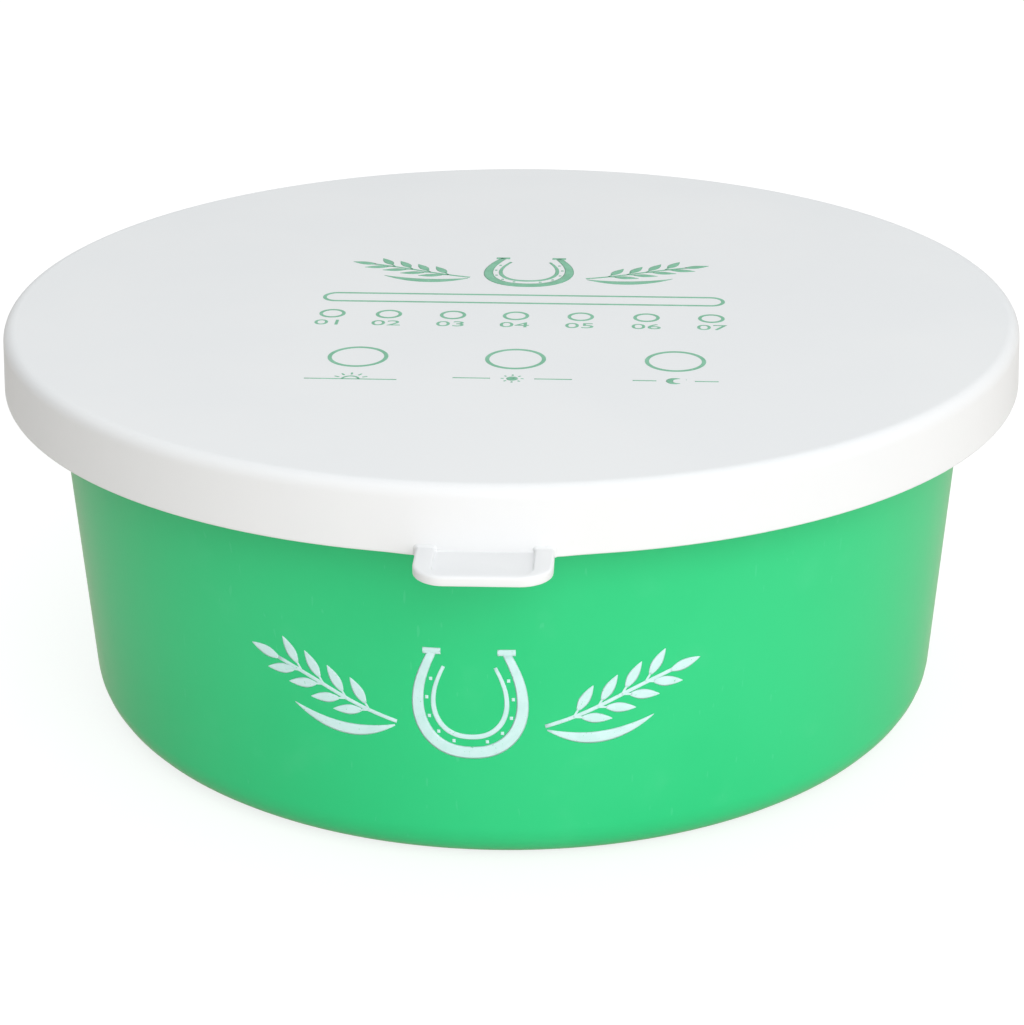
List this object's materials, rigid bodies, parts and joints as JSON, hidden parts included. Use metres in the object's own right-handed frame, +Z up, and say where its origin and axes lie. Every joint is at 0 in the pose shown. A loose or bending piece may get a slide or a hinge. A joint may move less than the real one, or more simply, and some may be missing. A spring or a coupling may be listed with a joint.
{
  "type": "horse feed bowl with lid",
  "caption": "Round tapering feed bowl with a rolled-down rim, closed by a flat press-on lid with a deep skirt and a dished thumb tab.",
  "frame": {"origin": "middle of the bowl's foot, on the floor", "axes": "+Z up, -Y the front, towards the lid's thumb tab"},
  "size_m": [0.2999, 0.3174, 0.118],
  "materials": {
    "bowl_green": "satin moulded polyethylene, green",
    "lid_white": "satin moulded polyethylene, white"
  },
  "bodies": {
    "bowl": {"feed_bowl": "bowl_green"},
    "lid": {"lid": "lid_white"}
  },
  "joints": [
    {"name": "lid_lift", "type": "slide", "parent": "bowl", "child": "lid", "axis": [0, 0, 1], "range_m": [0, 0.2]}
  ]
}
